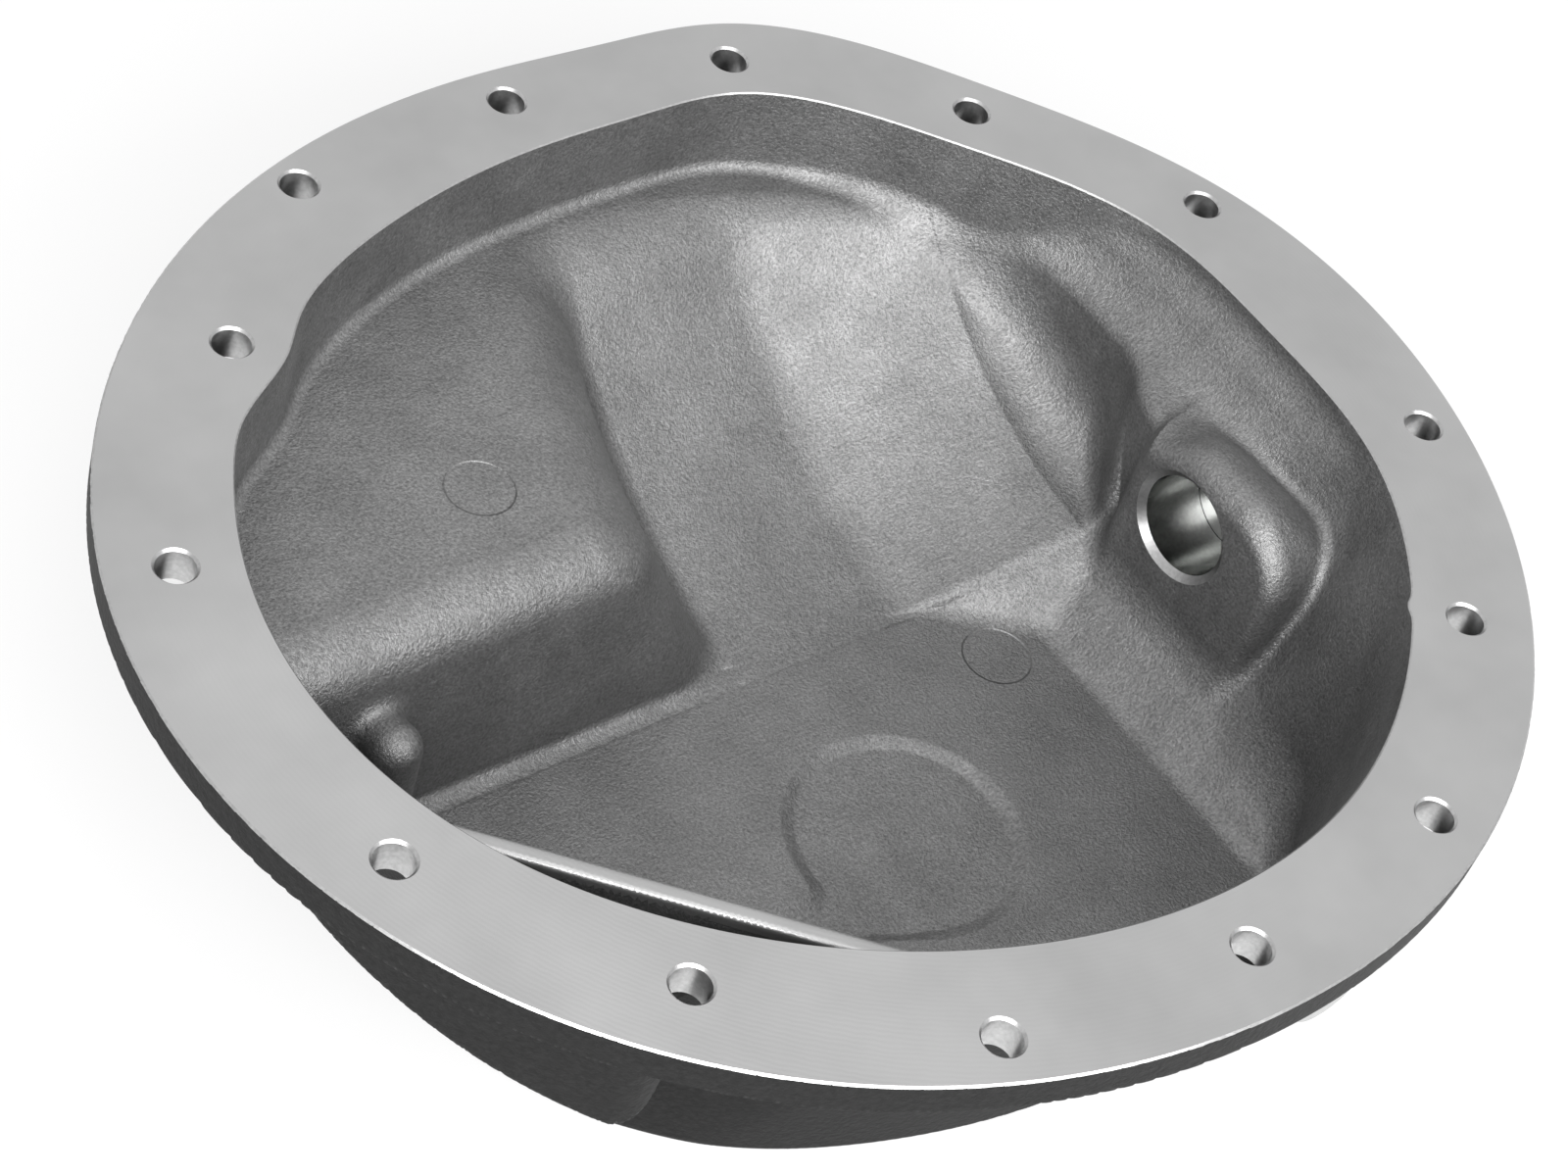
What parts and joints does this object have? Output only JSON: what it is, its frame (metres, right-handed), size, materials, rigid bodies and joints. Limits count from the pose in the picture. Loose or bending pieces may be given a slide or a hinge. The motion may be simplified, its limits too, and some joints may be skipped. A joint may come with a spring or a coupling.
{
  "type": "differential cover",
  "caption": "Cast cover for a rear axle differential, with a machined bolt flange, a hump that clears the ring gear, a deep oil sump, and fill and drain plugs.",
  "frame": {"origin": "centre of the bolt pattern on the machined flange face", "axes": "+X to the vehicle's right, +Y to the vehicle's top, +Z out of the flange face towards the axle housing"},
  "size_m": [0.3413, 0.3094, 0.0865],
  "materials": {
    "cast_aluminium": "sand cast, machined bright on the flange face, dark coated outside",
    "plug_steel": "turned and plated",
    "seal": "moulded"
  },
  "bodies": {
    "root": {"cover_casting": "cast_aluminium", "fill_plug": "plug_steel", "fill_plug_seal": "seal", "drain_plug": "plug_steel", "drain_plug_seal": "seal"}
  },
  "joints": []
}
